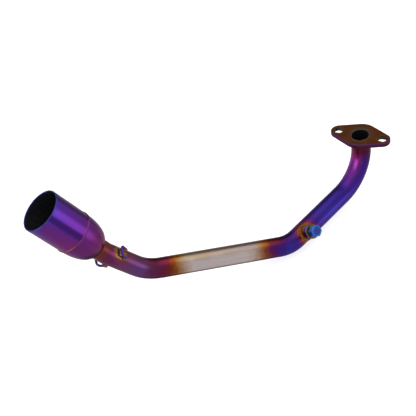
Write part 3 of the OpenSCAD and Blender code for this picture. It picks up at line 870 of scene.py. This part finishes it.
def hook_welds(name):
    """Two lumped beads at a hook's feet: a round of radius R sqrt(1 - (2 k - 1)^4) carried along
    the tube, with crescents."""
    o, t, b, up = hook_frame(name)
    rings, bead_r, back, length, sunk = 30, 2.45, 3.0, 7.6, 1.0
    k, a = np.linspace(0, 1, rings), np.linspace(0, 2 * np.pi, 25)
    z = -back + length * k
    cap = np.sqrt(np.clip(1 - (2 * k - 1) ** 4, 0, 1))
    radius = bead_r * cap[:, None] * (1 + ripple(z[:, None], np.cos(a)[None], 1.7, 0.12))
    heads, sides = np.repeat(t[None], rings, 0), np.repeat(up[None], rings, 0)
    grids = [carried(o + s * (HOOK_W / 2) * b + t * z[:, None] - up * sunk, heads, sides, radius, z, 24)
             for s in (1, -1)]
    return make_piece(name + "_hook_beads", grids, "pipe", [name + "_hook_welds"],
                      [gold_mat], sharp=70)


header_tube()
tail_sleeve()
reducer_dome()
seam_weld()
fillet_bead("neck_weld_bead", "neck_weld", TAIL_P + TAIL_T * NECK, -TAIL_T, TAIL_C, NECK_LEG)
flange_plate()
fillet_bead("flange_weld_bead", "flange_weld", np.array([0, 0, -FLANGE_T]), np.array([0, 0, -1.0]),
            np.array([-1.0, 0, 0]), FLANGE_LEG)
sensor_bung()
bung_weld()
plug_washer()
bung_plug()
for hook in HOOKS:
    spring_hook(hook)
    hook_welds(hook)


# ---------------------------------------------------------------- floor, light and camera
# Brighter and darker parts of the room: direction, degrees of full and of no effect, and strength.
STUDIO_LOBES = [((0.10, 0.10, 1.0), 18, 42, 0.34), ((0.72, 0.60, 0.30), 14, 36, -0.36),
                ((0.12, 0.12, -1.0), 8, 28, -0.34), ((0.60, -0.78, -0.10), 7, 22, 0.62),
                ((0.95, 0.25, -0.20), 6, 20, -0.24), ((-0.97, 0.13, 0.15), 10, 26, 0.75),
                ((-0.80, -0.52, 0.10), 8, 24, -0.26), ((-0.62, 0.72, 0.1), 8, 26, -0.26)]
ROOM_LIGHT = 0.46
PART_MIDDLE = (-0.19, 0.03, 0.0)


def placed(right, up, back, at):
    """Matrix of a thing at a point, with its own X, Y and Z along the three directions."""
    rows = np.stack([right, up, back], 1).tolist()
    return Matrix([[*r, p] for r, p in zip(rows, at)] + [[0, 0, 0, 1]])


def studio():
    """Pale floor, and an even room with softer and darker parts."""
    floor_mesh = bpy.data.meshes.new("floor")
    half = 6
    corners = [(x, y, FLOOR_Z) for x, y in ((-half, -half), (half, -half), (half, half), (-half, half))]
    floor_mesh.from_pydata(corners, [], [(0, 1, 2, 3)])
    floor = bpy.data.objects.new("floor", floor_mesh)
    bpy.context.scene.collection.objects.link(floor)
    mat = bpy.data.materials.new("pale_floor")
    mat.use_nodes = True
    shader = mat.node_tree.nodes["Principled BSDF"]
    shader.inputs["Base Color"].default_value = (0.96, 0.96, 0.96, 1)
    shader.inputs["Roughness"].default_value = 0.9
    floor_mesh.materials.append(mat)
    floor.visible_glossy = False

    world = bpy.data.worlds.new("studio")
    bpy.context.scene.world = world
    world.use_nodes = True
    tree = world.node_tree
    where = tree.nodes.new("ShaderNodeTexCoord")

    def lobe(direction, inner, outer, amount, base):
        """base + amount where the direction lies within inner degrees, fading to base at outer degrees."""
        dot = tree.nodes.new("ShaderNodeVectorMath")
        dot.operation = "DOT_PRODUCT"
        tree.links.new(where.outputs["Generated"], dot.inputs[0])
        dot.inputs[1].default_value = unit(np.array(direction, float))
        fade = tree.nodes.new("ShaderNodeMapRange")
        fade.interpolation_type = "SMOOTHSTEP"
        limits = (math.cos(math.radians(outer)), math.cos(math.radians(inner)), 0.0, amount)
        for k, value in enumerate(limits, 1):
            fade.inputs[k].default_value = value
        tree.links.new(dot.outputs["Value"], fade.inputs[0])
        add = tree.nodes.new("ShaderNodeMath")
        tree.links.new(fade.outputs[0], add.inputs[0])
        if isinstance(base, float):
            add.inputs[1].default_value = base
        else:
            tree.links.new(base, add.inputs[1])
        return add.outputs[0]

    total = ROOM_LIGHT
    for direction, inner, outer, amount in STUDIO_LOBES:
        total = lobe(direction, inner, outer, amount, total)
    tree.links.new(total, tree.nodes["Background"].inputs["Strength"])
    tree.nodes["Background"].inputs["Color"].default_value = (1.0, 0.97, 0.98, 1)


def floor_wash(height=3.0, size=5.0, power=165):
    """Wide soft light straight above the part, which casts no shadow and shows in no reflection."""
    data = bpy.data.lights.new("floor_wash", "AREA")
    data.shape, data.size, data.size_y, data.energy = "RECTANGLE", size, size, power
    data.use_shadow = False
    lamp = bpy.data.objects.new("floor_wash", data)
    at = (PART_MIDDLE[0], PART_MIDDLE[1], PART_MIDDLE[2] + height)
    lamp.matrix_world = placed((1.0, 0, 0), (0, 1.0, 0), (0, 0, 1.0), at)
    lamp.visible_glossy = False
    bpy.context.scene.collection.objects.link(lamp)


def view_camera():
    """Camera at the fitted place, with its right, down and ahead directions."""
    data = bpy.data.cameras.new("view")
    frame_width, focal_length, sensor = 416, 763.5, 36  # the first two in the same unit
    data.lens, data.sensor_width = focal_length / frame_width * sensor, sensor
    data.clip_end = 50
    cam = bpy.data.objects.new("view", data)
    right = np.array([0.70527, -0.68266, -0.19123])
    down = np.array([-0.56922, -0.38449, -0.72674])
    ahead = np.cross(right, down)
    cam.matrix_world = placed(right, -down, -ahead, (-0.60865, -0.51464, 0.61796))
    bpy.context.scene.collection.objects.link(cam)
    bpy.context.scene.camera = cam


studio()
floor_wash()
view_camera()
bpy.context.scene.view_settings.view_transform = "Standard"
